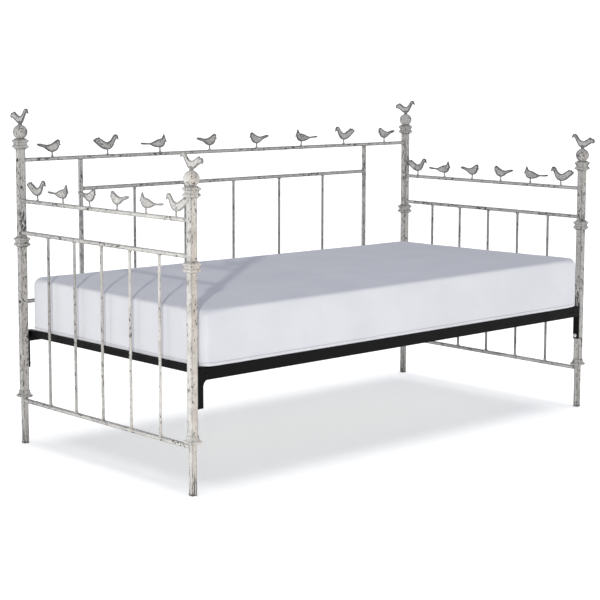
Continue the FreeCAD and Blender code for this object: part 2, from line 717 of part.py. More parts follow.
def corner_rivet(name, ways):
    """Flush rivet where an end rail laps a side rail, domed underneath."""
    x, y = times(ways[0], CORNER_RIVET[0]), times(ways[1], CORNER_RIVET[1])
    shank = rod(name + "_shank", "rivet_radius", "2 * angle_thick", (x, y, "frame_top - angle_thick"))
    head = dome(name + "_head", "rivet_head", "rivet_dome", (x, y, "frame_top - angle_thick"),
                (V(1, 0, 0), 180))
    return fuse(name, [head, shank])


brackets = {"gusset_brackets": [], "plain_brackets": []}
bolts, nuts, rivets = [], [], []
for end, way_y in ENDS.items():
    side_rail(end, way_y)
for side, way_x in SIDES.items():
    end_rail(side, way_x)
for side, way_x in SIDES.items():
    for end, way_y in ENDS.items():
        ways = (way_x, way_y)
        corner = "%s_%s_" % (side, end)
        gusset = way_x == way_y
        kind = "gusset_brackets" if gusset else "plain_brackets"
        brackets[kind].append(corner_bracket(corner + "bracket", ways, gusset))
        bolts.append(bracket_bolt(corner + "bolt", ways))
        nuts.append(post_nut(corner + "nut", ways))
        for index, along in enumerate(rivet_places()):
            rivets.append(bracket_rivet("%srivet_%d" % (corner, index + 1), ways, along))
        rivets.append(corner_rivet(corner + "corner_rivet", ways))
for kind, pair in brackets.items():
    group(kind, pair)
group("bracket_bolts", bolts)
group("bracket_nuts", nuts)
group("frame_rivets", rivets)


# ---------------------------------------------------------------- link mesh

wires, crosses, coils = [], [], []
for index in range(WIRE_COUNT):
    y = "%d * wire_pitch" % (index - WIRE_COUNT // 2)
    wires.append(rod("link_wire_%d" % (index + 1), "wire_radius", "2 * wire_half",
                     ("-wire_half", y, "wire_z"), "X"))
    reach = "end_face_x - angle_thick - wire_half"
    for way_x in SIDES.values():
        start = "wire_half" if way_x > 0 else "-wire_half - ( %s )" % reach
        coils.append(rod("end_coil_%d_%d" % (index + 1, way_x), "coil_radius", reach,
                         (start, y, "wire_z"), "X"))
for index in range(CROSS_COUNT):
    x = "%d * cross_pitch" % (index - CROSS_COUNT // 2)
    level = "wire_z - 2 * wire_radius"
    crosses.append(rod("cross_wire_%d" % (index + 1), "wire_radius", "2 * cross_half",
                       (x, "-cross_half", level), "Y"))
    reach = HALF_Y + " - angle_thick - cross_half"
    for way_y in ENDS.values():
        start = "cross_half" if way_y > 0 else "-cross_half - ( %s )" % reach
        coils.append(rod("side_coil_%d_%d" % (index + 1, way_y), "coil_radius", reach,
                         (x, start, level), "Y"))
group("link_wires", wires)
group("cross_wires", crosses)
group("helical_springs", coils)


# ---------------------------------------------------------------- mattress

def mattress():
    """A plain closed block with rounded corners and edges."""
    block = box("mattress_block", ("-mattress_x", "-mattress_front", "mattress_low"),
                ("mattress_x", "mattress_rear", "mattress_top"))
    doc.recompute([block])
    corners = doc.addObject("Part::Fillet", "mattress_corners")
    corners.Base = block
    uprights = [int(name[4:]) for name in upright_edges(block.Shape)]
    corners.Edges = [(number, size("mattress_corner"), size("mattress_corner")) for number in uprights]
    doc.recompute([corners])
    rims = []
    for number, edge in enumerate(corners.Shape.Edges, start=1):
        heights = {round(vertex.Point.z, 3) for vertex in edge.Vertexes}
        if len(heights) == 1:
            rims.append((number, size("mattress_edge"), size("mattress_edge")))
    piece = doc.addObject("Part::Fillet", "mattress")
    piece.Base = corners
    piece.Edges = rims
    return keep(piece, "mattress")


mattress()


# ---------------------------------------------------------------- check and write

doc.recompute()
for item in doc.Objects:
    if "Invalid" in item.State or "Error" in item.State:
        raise RuntimeError("%s did not compute: %s" % (item.Label, item.State))
for node in nodes:
    if node.Shape.isNull() or not node.Shape.isValid():
        raise RuntimeError("%s has no valid shape" % node.Label)
    if not node.Shape.Solids:
        raise RuntimeError("%s holds no solid" % node.Label)
for node in nodes:
    node.Shape.exportStep("parts/%s.step" % node.Label)
print("%d nodes, %d solids" % (len(nodes), sum(len(node.Shape.Solids) for node in nodes)))
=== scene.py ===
import math

import bmesh
import bpy
from mathutils import Matrix, Vector, noise
from mathutils.bvhtree import BVHTree

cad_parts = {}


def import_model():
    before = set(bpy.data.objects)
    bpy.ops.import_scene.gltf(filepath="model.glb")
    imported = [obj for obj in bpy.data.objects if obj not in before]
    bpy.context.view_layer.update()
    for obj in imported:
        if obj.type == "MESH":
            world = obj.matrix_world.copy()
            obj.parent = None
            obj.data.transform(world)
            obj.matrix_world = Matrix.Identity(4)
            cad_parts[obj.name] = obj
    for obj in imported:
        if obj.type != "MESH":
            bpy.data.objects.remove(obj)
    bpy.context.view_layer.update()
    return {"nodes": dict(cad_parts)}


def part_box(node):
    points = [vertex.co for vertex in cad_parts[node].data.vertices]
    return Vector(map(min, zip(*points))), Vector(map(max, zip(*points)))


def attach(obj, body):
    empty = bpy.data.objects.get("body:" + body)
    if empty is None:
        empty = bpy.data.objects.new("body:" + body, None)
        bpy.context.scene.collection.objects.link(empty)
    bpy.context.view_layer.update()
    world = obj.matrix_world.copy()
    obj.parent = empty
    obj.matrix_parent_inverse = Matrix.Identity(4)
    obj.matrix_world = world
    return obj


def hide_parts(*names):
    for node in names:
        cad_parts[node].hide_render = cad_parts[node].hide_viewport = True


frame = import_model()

# Daybed: painted square tube with cut-out birds, black angle-iron link spring, one mattress.
# Metres. X runs along the bed, +Y is the side with the back, +Z is up.

NODES = frame["nodes"]
SIDES = ("left", "right")
AXES = (Vector((1, 0, 0)), Vector((0, 1, 0)), Vector((0, 0, 1)))


# ---------------------------------------------------------------- camera, light and floor

CAMERA_AT = Vector((-4.0322, -4.2521, 1.3413))
CAMERA_YAW = math.radians(42.89)      # from +Y towards +X
CAMERA_PITCH = math.radians(6.68)     # downwards
CAMERA_ROLL = math.radians(0.16)
CAMERA_LENS = 95.53
CAMERA_SHIFT = -0.0833
CAMERA_CLIP = 2000

# Each soft box: direction it shines in, distance, side of the square, power, colour.
KEY_LAMP = (Vector((0.743, 0.602, -0.292)), 16.0, 0.50, 1010, (1.0, 0.985, 0.95))
SIDE_LAMP = (Vector((0.93, -0.30, -0.20)), 14.0, 0.45, 130, (1.0, 0.99, 0.96))
LAMP_AIM = Vector((0, 0, 0.55))
OVERHEAD_POWER = 1.75
OVERHEAD_SPREAD = math.radians(42)

HORIZON_SKY = (1.0, 1.0, 1.0, 1)
OVERHEAD_SKY = (0.44, 0.46, 0.565, 1)
SKY_RISE = (0.10, 0.62)               # heights where the sky leaves one colour and reaches the other
SKY_SIDE = (-1.0, 0.1)                # X where the sky is dimmest and where it is full
SKY_STRENGTH = (0.58, 1.02)           # at those two places

FLOOR_HALF = 400
FLOOR_GLOW = 0.30
FLOOR_WHITE = (0.90, 0.895, 0.855)
FLOOR_SHADE = (0.88, 0.875, 0.835)


def camera():
    """The camera at the photograph's viewing angle, levelled but for a slight roll."""
    data = bpy.data.cameras.new("camera")
    data.lens = CAMERA_LENS
    data.sensor_width = 36
    data.shift_y = CAMERA_SHIFT
    data.clip_end = CAMERA_CLIP
    ahead = Vector((math.sin(CAMERA_YAW) * math.cos(CAMERA_PITCH),
                    math.cos(CAMERA_YAW) * math.cos(CAMERA_PITCH), -math.sin(CAMERA_PITCH)))
    level = ahead.cross(Vector((0, 0, 1))).normalized()
    above = level.cross(ahead)
    turn = Matrix.Rotation(-CAMERA_ROLL, 3, ahead)
    across, up = turn @ level, turn @ above
    seen_from = bpy.data.objects.new("camera", data)
    facing = Matrix((across, up, -ahead)).transposed().to_4x4()
    seen_from.matrix_world = Matrix.Translation(CAMERA_AT) @ facing
    bpy.context.scene.collection.objects.link(seen_from)
    bpy.context.scene.camera = seen_from


def area_light(name, towards, distance, side, power, colour):
    """A square soft box that shines along a direction at the middle of the bed."""
    data = bpy.data.lights.new(name, "AREA")
    data.shape = "SQUARE"
    data.size = side
    data.energy = power
    data.color = colour
    lamp = bpy.data.objects.new(name, data)
    lamp.location = LAMP_AIM - towards.normalized() * distance
    lamp.rotation_mode = "QUATERNION"
    lamp.rotation_quaternion = towards.to_track_quat("-Z", "Y")
    bpy.context.scene.collection.objects.link(lamp)
    return lamp


def world():
    """Studio surround: white round the horizon, bluer overhead, dimmer out to the left."""
    surround = bpy.data.worlds.new("surround")
    surround.use_nodes = True
    bpy.context.scene.world = surround
    tree = surround.node_tree
    place = tree.nodes.new("ShaderNodeTexCoord")
    split = tree.nodes.new("ShaderNodeSeparateXYZ")
    ramp = tree.nodes.new("ShaderNodeValToRGB")
    background = tree.nodes["Background"]
    tree.links.new(place.outputs["Generated"], split.inputs[0])
    tree.links.new(split.outputs["Z"], ramp.inputs[0])
    tree.links.new(ramp.outputs["Color"], background.inputs["Color"])
    stops = ramp.color_ramp.elements
    for stop, position, colour in zip(stops, SKY_RISE, (HORIZON_SKY, OVERHEAD_SKY)):
        stop.position, stop.color = position, colour
    leftwards = tree.nodes.new("ShaderNodeMapRange")
    tree.links.new(split.outputs["X"], leftwards.inputs["Value"])
    for socket, value in zip(("From Min", "From Max", "To Min", "To Max"), SKY_SIDE + SKY_STRENGTH):
        leftwards.inputs[socket].default_value = value
    tree.links.new(leftwards.outputs["Result"], background.inputs["Strength"])


def floor():
    """A wide pale floor that glows a little, so that it runs into the white surround."""
    plane = bmesh.new()
    bmesh.ops.create_grid(plane, x_segments=8, y_segments=8, size=FLOOR_HALF)
    ground = mesh_object("studio_floor", plane)
    make = Material("pale_floor")
    tone = make.noise(0.6, detail=2)
    make.set("Base Color", make.mix(tone, FLOOR_WHITE, FLOOR_SHADE))
    make.set("Roughness", 0.85)
    make.set("Emission Color", (1, 1, 1, 1))
    make.set("Emission Strength", FLOOR_GLOW)
    ground.data.materials.append(make.material)
    return ground


def floor_light(ground, *others):
    """Soft light from overhead on the floor alone, so that the bed's shadow lies under it.
    The other lamps leave the floor out."""
    data = bpy.data.lights.new("overhead", "SUN")
    data.energy = OVERHEAD_POWER
    data.angle = OVERHEAD_SPREAD
    lamp = bpy.data.objects.new("overhead", data)
    bpy.context.scene.collection.objects.link(lamp)
    receivers = bpy.data.collections.new("floor_only")
    receivers.objects.link(ground)
    lamp.light_linking.receiver_collection = receivers
    spared = bpy.data.collections.new("all_but_floor")
    spared.objects.link(ground)
    spared.collection_objects[0].light_linking.link_state = "EXCLUDE"
    for other in others:
        other.light_linking.receiver_collection = spared


# ---------------------------------------------------------------- materials

RIM_SAMPLES = 12
RIM_FLAT = 0.9998       # cosine between the eased and the true normal on flat ground


class Material:
    """One procedural material; positions are the part's own metres."""

    def __init__(self, name):
        self.material = bpy.data.materials.new(name)
        self.material.use_nodes = True
        self.tree = self.material.node_tree
        self.shader = self.tree.nodes["Principled BSDF"]
        self.place = self.tree.nodes.new("ShaderNodeTexCoord").outputs["Object"]

    def set(self, socket, value):
        """Feed a socket of the surface shader."""
        self.feed(self.shader.inputs[socket], value)

    def feed(self, socket, value):
        """Link a socket, or give it a plain value."""
        if isinstance(value, bpy.types.NodeSocket):
            self.tree.links.new(value, socket)
        elif isinstance(value, tuple) and len(value) == 3 and socket.type == "RGBA":
            socket.default_value = (*value, 1)
        else:
            socket.default_value = value

    def node(self, kind, values=(), **settings):
        """Add a node with its settings and inputs."""
        made = self.tree.nodes.new("ShaderNode" + kind)
        for key, value in settings.items():
            setattr(made, key, value)
        for key, value in dict(values).items():
            self.feed(made.inputs[key], value)
        return made

    def noise(self, scale, detail=3, rough=0.55, stretch=(1, 1, 1), shift=0.0):
        """Cloudy noise from 0 to 1; stretch below 1 makes it longer that way."""
        mapped = self.node("Mapping", {0: self.place, "Scale": stretch,
                                       "Location": (shift, shift * 0.7, shift * 1.3)})
        cloud = self.node("TexNoise", {"Vector": mapped.outputs[0], "Scale": scale, "Detail": detail,
                                       "Roughness": rough})
        return cloud.outputs["Fac"]

    def step(self, value, low, high):
        """0 below low, 1 above high, smooth between; low may be the larger."""
        ranged = self.node("MapRange", {0: value, 1: low, 2: high}, interpolation_type="SMOOTHSTEP")
        return ranged.outputs[0]

    def calc(self, operation, first, second):
        """One step of arithmetic on two values."""
        return self.node("Math", {0: first, 1: second}, operation=operation).outputs[0]

    def mix(self, share, first, second):
        """The first colour where share is 0, the second where it is 1."""
        return self.node("Mix", {0: share, 6: first, 7: second}, data_type="RGBA").outputs[2]

    def axis(self, vector, letter):
        """One component of a vector."""
        return self.node("SeparateXYZ", {0: vector}).outputs[letter]

    def rim(self, radius, sharp=0.975):
        """1 where the surface bends sharply within the radius, 0 on flat ground; and the eased normal."""
        eased = self.node("Bevel", {"Radius": radius}, samples=RIM_SAMPLES).outputs[0]
        flat = self.node("NewGeometry").outputs["Normal"]
        along = self.node("VectorMath", {0: eased, 1: flat}, operation="DOT_PRODUCT").outputs["Value"]
        return self.step(along, RIM_FLAT, sharp), eased

    def bump(self, height, strength, distance, normal=None):
        """Surface relief, on top of an eased normal where one is given."""
        values = {"Height": height, "Strength": strength, "Distance": distance}
        if normal is not None:
            values["Normal"] = normal
        self.set("Normal", self.node("Bump", values).outputs[0])


CREAM = (0.69, 0.677, 0.637)
# painted shade: the cream drawn darker and greyer where less light falls towards the back right
SHADED_OLD_CREAM = (0.48, 0.473, 0.45)
# painted stain, which also serves as painted shade on the faces turned to the front
STAIN_AND_SHADE = (0.42, 0.33, 0.24)
UNDERCOAT = (0.20, 0.198, 0.192)
BARE_STEEL = (0.035, 0.034, 0.033)
LIT_NEW_PAINT_AT, SHADED_OLD_PAINT_AT = -0.92, 0.10      # X / 2 + Y where the paint is freshest and most lit, and where it is oldest and most darkened as painted shade

FLAKE_SCALE, PATCH_SCALE, SPECK_SCALE = 165, 24, 340
CHIP_LEVEL = 0.648      # how high the flake noise has to rise before the paint is chipped
CHIP_WEAR = 0.045       # how much wear lowers that level
HALO_WIDE = 0.035       # undercoat round each chip


def edge_rub(make, far_shade_and_age, stretch, share, wide, sharp):
    """Where edges are rubbed down to the undercoat."""
    edge, _ = make.rim(wide, sharp)
    nibble = make.noise(95, detail=4, rough=0.7, stretch=stretch, shift=5)
    rubbed = make.calc("MULTIPLY", edge, make.step(nibble, 0.58 - 0.16 * share, 0.72 - 0.12 * share))
    return make.calc("MULTIPLY", rubbed, make.calc("ADD", 0.55, make.calc("MULTIPLY", far_shade_and_age, 0.45)))


def chips(make, far_shade_and_age, stretch, wear):
    """Bare chips with fine specks between them, and the halo of undercoat round each."""
    flake = make.noise(FLAKE_SCALE, detail=3, rough=0.6, stretch=stretch, shift=1)
    patch = make.noise(PATCH_SCALE, detail=2, stretch=stretch, shift=2)
    level = CHIP_LEVEL - CHIP_WEAR * wear
    lifted = make.calc("ADD", flake, make.calc("MULTIPLY", make.calc("SUBTRACT", patch, 0.5), 0.42))
    lifted = make.calc("ADD", lifted, make.calc("MULTIPLY", make.calc("SUBTRACT", far_shade_and_age, 0.6), 0.034))
    halo = make.step(lifted, level - HALO_WIDE, level)
    chip = make.step(lifted, level + 0.01, level + HALO_WIDE)
    speck = make.step(make.noise(SPECK_SCALE, detail=2, stretch=stretch, shift=6), 0.60, 0.66)
    speck = make.calc("MULTIPLY", speck, make.calc("ADD", 0.35, make.calc("MULTIPLY", far_shade_and_age, 0.55)))
    return (make.calc("MAXIMUM", chip, make.calc("MULTIPLY", speck, 0.85)),
            make.calc("MAXIMUM", halo, speck))


def scuffed(make, chip, halo):
    """Long scratches added to the chips near the floor."""
    low = make.step(make.axis(make.place, "Z"), 0.13, 0.03)
    streak = make.noise(300, detail=2, stretch=(1, 1, 0.06), shift=7)
    scratch = make.calc("MULTIPLY", low, make.step(streak, 0.50, 0.60))
    return (make.calc("MAXIMUM", chip, make.calc("MULTIPLY", scratch, 0.85)),
            make.calc("MAXIMUM", halo, scratch))


def aged_and_shaded_paint(name, stretch, wear=1.0, rim_share=1.0, rim_wide=0.005, rim_sharp=0.975, shade=0.0,
               stain_and_shade=0.8, scuffed_feet=False):
    """Cream paint with painted shade that makes it darker and greyer away from the front left corner,
    where less light falls, and older there; stained on the front faces, partly as painted shade; rubbed
    at the edges and chipped.
    """
    make = Material(name)
    # painted shade: 0 at the front left corner and 1 towards the back right, where less light falls; the
    # same mask makes the paint wear more there
    far = make.calc("ADD", make.calc("MULTIPLY", make.axis(make.place, "X"), 0.5),
                    make.axis(make.place, "Y"))
    far_shade_and_age = make.step(far, LIT_NEW_PAINT_AT, SHADED_OLD_PAINT_AT)
    cloud = make.noise(22, detail=4)
    # painted shade: the tone runs from the fresh cream at the front left to a darker, greyer cream
    # towards the back right, and shade takes that further towards the undercoat
    tone = make.mix(far_shade_and_age, CREAM, make.mix(shade, SHADED_OLD_CREAM, UNDERCOAT))
    mottle = make.mix(make.step(cloud, 0.38, 0.68), tone, make.mix(0.68, UNDERCOAT, tone))

    # painted shade and stain: faces turned towards -Y are browned and darkened, partly as real stain and
    # partly as shade where less light falls on them
    facing = make.axis(make.node("NewGeometry").outputs["Normal"], "Y")
    front_shade_and_weather = make.calc("MULTIPLY", make.step(facing, 0.3, -0.9),
                        make.noise(9, stretch=(1, 1, 0.35), shift=3))
    front_shade_and_weather = make.calc("MULTIPLY", front_shade_and_weather, make.step(far_shade_and_age, 1.6, 0.0))
    stained_and_shaded = make.mix(make.calc("MULTIPLY", front_shade_and_weather, stain_and_shade), mottle, STAIN_AND_SHADE)

    rubbed = edge_rub(make, far_shade_and_age, stretch, rim_share, rim_wide, rim_sharp)
    chip, halo = chips(make, far_shade_and_age, stretch, wear)
    if scuffed_feet:
        chip, halo = scuffed(make, chip, halo)

    thin = make.calc("MAXIMUM", make.calc("MULTIPLY", halo, 0.6), rubbed)
    bare = make.calc("MAXIMUM", chip, make.calc("MULTIPLY", rubbed, 0.62))
    make.set("Base Color", make.mix(bare, make.mix(thin, stained_and_shaded, UNDERCOAT), BARE_STEEL))
    make.set("Roughness", make.calc("SUBTRACT", 0.62, make.calc("MULTIPLY", chip, 0.18)))
    relief = make.calc("SUBTRACT", make.calc("MULTIPLY", cloud, 0.35), make.calc("MAXIMUM", halo, rubbed))
    fine = make.node("Bevel", {"Radius": 0.0012}, samples=4).outputs[0]
    make.bump(relief, 0.5, 0.0005, fine)
    return make.material


ENAMEL, DUSTY_ENAMEL = (0.003, 0.003, 0.0034), (0.008, 0.008, 0.009)
RUBBED_ENAMEL = (0.05, 0.05, 0.05)


def black_enamel(name):
    """Thick black enamel with orange peel and a little grey rub along the edges."""
    make = Material(name)
    edge, eased = make.rim(0.0010, 0.86)
    rub = make.calc("MULTIPLY", edge, make.step(make.noise(55, detail=4), 0.52, 0.66))
    dust = make.step(make.noise(14, detail=4, shift=4), 0.45, 0.75)
    dusty = make.mix(make.calc("MULTIPLY", dust, 0.35), ENAMEL, DUSTY_ENAMEL)
    make.set("Base Color", make.mix(make.calc("MULTIPLY", rub, 0.5), dusty, RUBBED_ENAMEL))
    make.set("Roughness", make.calc("ADD", 0.42, make.calc("MULTIPLY", dust, 0.2)))
    make.set("Specular IOR Level", 0.08)
    make.bump(make.noise(420, detail=2), 0.25, 0.0003, eased)
    return make.material


def bright_metal(name, colour, dark, rough):
    """Plated or drawn steel with cloudy dulling and fine draw marks."""
    make = Material(name)
    cloud = make.noise(90, detail=4)
    make.set("Base Color", make.mix(make.step(cloud, 0.35, 0.75), colour, dark))
    make.set("Metallic", 0.9)
    make.set("Roughness", make.calc("ADD", rough, make.calc("MULTIPLY", cloud, 0.2)))
    make.bump(make.noise(900, detail=1), 0.2, 0.0001)
    return make.material


def glide_plastic(name):
    """Dull dark plastic."""
    make = Material(name)
    cloud = make.noise(200, detail=3)
    make.set("Base Color", make.mix(cloud, (0.05, 0.05, 0.052), (0.09, 0.09, 0.09)))
    make.set("Roughness", 0.55)
    make.bump(cloud, 0.3, 0.0002)
    return make.material


THREAD_PITCH = 0.0016
TICKING, TICKING_SHADE = (0.655, 0.66, 0.68), (0.615, 0.62, 0.645)
PIPING, PIPING_SHADE = (0.60, 0.605, 0.63), (0.54, 0.545, 0.57)


def ticking(name, pale, shade):
    """Brushed white cotton: a fine plain weave, soft mottling and slow puckers."""
    make = Material(name)
    threads = []
    for letter in "XYZ":
        turns = make.calc("MULTIPLY", make.axis(make.place, letter), 2 * math.pi / THREAD_PITCH)
        threads.append(make.node("Math", {0: turns}, operation="SINE").outputs[0])
    weave = make.calc("ADD", make.calc("ADD", threads[0], threads[1]), threads[2])
    slub = make.noise(600, detail=2, stretch=(0.3, 1, 1))
    mottle = make.noise(5, detail=4)
    colour = make.mix(make.step(mottle, 0.3, 0.7), pale, shade)
    slubbed = make.mix(make.calc("MULTIPLY", make.step(slub, 0.62, 0.78), 0.25), colour, shade)
    make.set("Base Color", slubbed)
    make.set("Roughness", 0.88)
    make.set("Sheen Weight", 0.12)
    make.set("Sheen Roughness", 0.6)
    height = make.calc("ADD", make.calc("MULTIPLY", weave, 0.12), make.calc("MULTIPLY", slub, 0.6))
    make.bump(height, 0.35, 0.0005)
    return make.material


# ---------------------------------------------------------------- mesh building

PAINT_SLOT, WIRE_SLOT, CLOTH_SLOT = "aged_white_paint", "spring_wire", "mattress_cloth"
TOUCH = 0.0004          # how near a point has to be to a level to lie on it
SPOT_REACH = 0.024      # points nearer than this belong to one bar
LUMP_SCALE = 260        # noise that makes a weld bead uneven


def mesh_object(name, shape, smooth=True):
    """Turn a bmesh into an object of the scene."""
    data = bpy.data.meshes.new(name)
    bmesh.ops.recalc_face_normals(shape, faces=shape.faces)
    shape.to_mesh(data)
    shape.free()
    for polygon in data.polygons:
        polygon.use_smooth = smooth
    made = bpy.data.objects.new(name, data)
    bpy.context.scene.collection.objects.link(made)
    return made


def finish_piece(piece, body, slot, material, *replaced):
    """Give a new piece its material, the body it rides on and the nodes it stands for. The slot argument
    is not used.
    """
    piece.data.materials.clear()
    piece.data.materials.append(material)
    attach(piece, body)
    if replaced:
        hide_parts(*replaced)
    return piece


def skin(shape, rings, closed=False):
    """Join a row of rings of vertices with faces, and cap the ends of an open row."""
    for ring, following in zip(rings, rings[1:] + rings[:1] if closed else rings[1:]):
        for k in range(len(ring)):
            after = (k + 1) % len(ring)
            shape.faces.new((ring[k], ring[after], following[after], following[k]))
    if not closed:
        shape.faces.new(list(reversed(rings[0])))
        shape.faces.new(rings[-1])


def sweep(shape, points, radius, sides=6, closed=False):
    """Add a round bar along points to a bmesh; open ends are capped."""
    rings = []
    count = len(points)
    side = None
    for index, point in enumerate(points):
        before = points[index - 1] if closed or index else point
        after = points[(index + 1) % count] if closed or index < count - 1 else point
        along = (after - before).normalized()
        if side is None:
            side = along.orthogonal().normalized()
        side = (side - along * side.dot(along)).normalized()
        other = along.cross(side)
        rings.append([shape.verts.new(point + radius * (side * math.cos(turn) + other * math.sin(turn)))
                      for turn in (2 * math.pi * k / sides for k in range(sides))])
    skin(shape, rings, closed)


def lathe(shape, at, axis, profile, sides=14, square=0.0, lump=0.0):
    """Add a solid turned from (distance along the axis, radius); square pushes its plan to a square."""
    side = axis.orthogonal().normalized()
    if abs(axis.z) < 0.5:
        side = Vector((0, 0, 1))
    other = axis.cross(side)
    rings = []
    for along, radius in profile:
        centre = at + axis * along
        ring = []
        for k in range(sides):
            turn = 2 * math.pi * (k + 0.5) / sides
            reach = radius
            if square:
                corner = 1 / max(abs(math.cos(turn)), abs(math.sin(turn)))
                reach = radius * (1 + square * (corner - 1))
            outward = reach * (side * math.cos(turn) + other * math.sin(turn))
            wobble = 1 + lump * noise.noise((centre + outward) * LUMP_SCALE)
            ring.append(shape.verts.new(centre + outward * wobble))
        rings.append(ring)
    skin(shape, rings)


def on_level(node, axis, level):
    """Points of a node's mesh that lie on a level of one axis."""
    return [v.co for v in NODES[node].data.vertices if abs(v.co[axis] - level) < TOUCH]


def middles(node, axis, level):
    """Middles of the separate spots where a node's mesh meets a level of one axis."""
    found = []
    for point in on_level(node, axis, level):
        for spot in found:
            if (point - spot[0]).length < SPOT_REACH:
                spot.append(point)
                break
        else:
            found.append([point])
    centres = []
    for spot in found:
        low = Vector([min(p[i] for p in spot) for i in range(3)])
        high = Vector([max(p[i] for p in spot) for i in range(3)])
        centres.append((low + high) / 2)
    return centres


# ---------------------------------------------------------------- weld beads

# distance along the bar and share of the flare that is left there
WELD_SLOPE = ((-0.0010, 1.00), (0.0008, 0.98), (0.0026, 0.74),
              (0.0052, 0.40), (0.0085, 0.10), (0.0100, 0.02))
WELD_SIDES = 16
WELD_LUMP = 0.10
WELD_BURIED = 0.96      # the bead starts a little inside the bar
ROUND_FLARE = 0.0026
SQUARE_FLARE, SQUARENESS = 0.0022, 0.7
STEM_RADIUS, STEM_FLARE = 0.0025, 0.0024


def weld(shape, at, axis, bar, flare, square=0.0):
    """A lumpy fillet of weld where a bar of one half-width leaves a face along an axis."""
    profile = [(along, bar * WELD_BURIED + flare * share) for along, share in WELD_SLOPE]
    lathe(shape, at, axis, profile, sides=WELD_SIDES, square=square, lump=WELD_LUMP)


def bar_welds(shape, node, axis, flare, square=0.0):
    """Beads at both ends of the bars of a node that runs along one axis."""
    low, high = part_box(node)
    across = 0 if axis else 1
    for level, way in ((low[axis], 1), (high[axis], -1)):
        for spot in middles(node, axis, level):
            near = [p for p in on_level(node, axis, level) if (p - spot).length < SPOT_REACH / 2]
            bar = max(p[across] - spot[across] for p in near)
            weld(shape, spot, AXES[axis] * way, bar, flare, square)


def foot_welds(shape, node):
    """Small beads where the birds' stems stand on their rail."""
    low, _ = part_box(node)
    for spot in middles(node, 2, low.z):
        weld(shape, spot, AXES[2], STEM_RADIUS, STEM_FLARE)


def panel_welds(panel, rails, rail_axis, material):
    """All the beads of one panel, as one piece: spindles, rails and birds."""
    shape = bmesh.new()
    bar_welds(shape, panel + "_spindles", 2, ROUND_FLARE)
    for rail in rails:
        bar_welds(shape, "%s_%s_rail" % (panel, rail), rail_axis, SQUARE_FLARE, SQUARENESS)
    foot_welds(shape, panel + "_birds")
    finish_piece(mesh_object(panel + "_weld_beads", shape), "bed", PAINT_SLOT, material)


def weld_beads(material):
    """Beads for each arm and for the back."""
    for side in SIDES:
        panel_welds(side + "_arm", ("top", "second", "bottom"), 1, material)
    panel_welds("back", ("top", "second", "low"), 0, material)


# ---------------------------------------------------------------- link spring

COIL_OUTSIDE = 0.0065
COIL_WIRE = 0.0011
COIL_TURNS = 15
COIL_STEPS = 10
HOOK_SHARE = 0.14       # of the whole spring, at each end
HOOK_STRAIGHT = 0.55    # of the hook, before it turns into the coil

TIE_WIRE = 0.0008
TIE_STEPS = 14
TIE_WIDE = 0.0030
TIE_OVER = 0.0012       # how far a tie stands past the two wires that it holds


def coil_points(start, end, radius):
    """Hook, close helix and hook from one anchor to the other."""
    along = (end - start).normalized()
    side = Vector((0, 0, 1))
    other = along.cross(side)
    whole = (end - start).length
    lead = whole * HOOK_SHARE
    points = [start, start + along * lead * HOOK_STRAIGHT]
    total = COIL_TURNS * COIL_STEPS
    for k in range(total + 1):
        turn = 2 * math.pi * k / COIL_STEPS
        points.append(start + along * (lead + (whole - 2 * lead) * k / total)
                      + radius * (side * math.cos(turn) + other * math.sin(turn)))
    return points + [end - along * lead * HOOK_STRAIGHT, end]


def helical_springs(material):
    """The helical springs that pull the link wires tight in the angle-iron frame."""
    shape = bmesh.new()
    low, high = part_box("helical_springs")
    radius = COIL_OUTSIDE - COIL_WIRE
    for axis, node in ((0, "link_wires"), (1, "cross_wires")):
        wire_low, wire_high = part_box(node)
        for wire_end, anchor in ((wire_low[axis], low[axis]), (wire_high[axis], high[axis])):
            for spot in middles(node, axis, wire_end):
                away = spot.copy()
                away[axis] = anchor
                sweep(shape, coil_points(spot, away, radius), COIL_WIRE, sides=5)
    finish_piece(mesh_object("coiled_helical_springs", shape), "bed", WIRE_SLOT, material,
                 "helical_springs")


def mesh_links(material):
    """Small wire loops that tie the crossings of the link wires."""
    shape = bmesh.new()
    low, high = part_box("link_wires")
    cross_low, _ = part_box("cross_wires")
    middle = (high.z + cross_low.z) / 2
    tall = (high.z - cross_low.z) / 2 + TIE_OVER
    for along in middles("cross_wires", 1, cross_low.y):
        for across in middles("link_wires", 0, low.x):
            centre = Vector((along.x, across.y, middle))
            loop = []
            for k in range(TIE_STEPS):
                turn = 2 * math.pi * k / TIE_STEPS
                loop.append(centre + Vector((TIE_WIDE * math.cos(turn), TIE_WIDE * math.cos(turn),
                                             tall * math.sin(turn))))
            sweep(shape, loop, TIE_WIRE, sides=5, closed=True)
    finish_piece(mesh_object("mesh_tie_loops", shape), "bed", WIRE_SLOT, material)


# ---------------------------------------------------------------- mattress

CORNER = 0.034                  # vertical corners
EDGE = 0.011                    # top edges
CORNER_EDGE = 0.028             # top edges where they turn the corners
CORNER_REACH = 0.16             # how far from a corner the edge grows rounder
LOW_EDGE = 0.004                # bottom edges
FACE_STEP = 0.016               # grid on the faces
EDGE_STEP, EDGE_LINES = 0.0045, 8       # closer grid lines near the edges
SHRINK = 0.005                  # how much smaller the cover starts, before it swells
SWELL_CAP = 0.011
SWELL_FRAMES = 20
UNEVEN = 0.0048                 # how much fuller two corners are
SAG = 0.0034                    # between the end rails, down to the side rails
SAG_ENDS = (0.928, 0.878)       # distances from the middle where the sag starts and is full

PIPING_LEVEL = 0.0115           # above the underside
PIPING_RADIUS = 0.0028
PIPING_STEP = 0.03
PIPING_SUNK = 0.0008
ARC_STEPS = 8


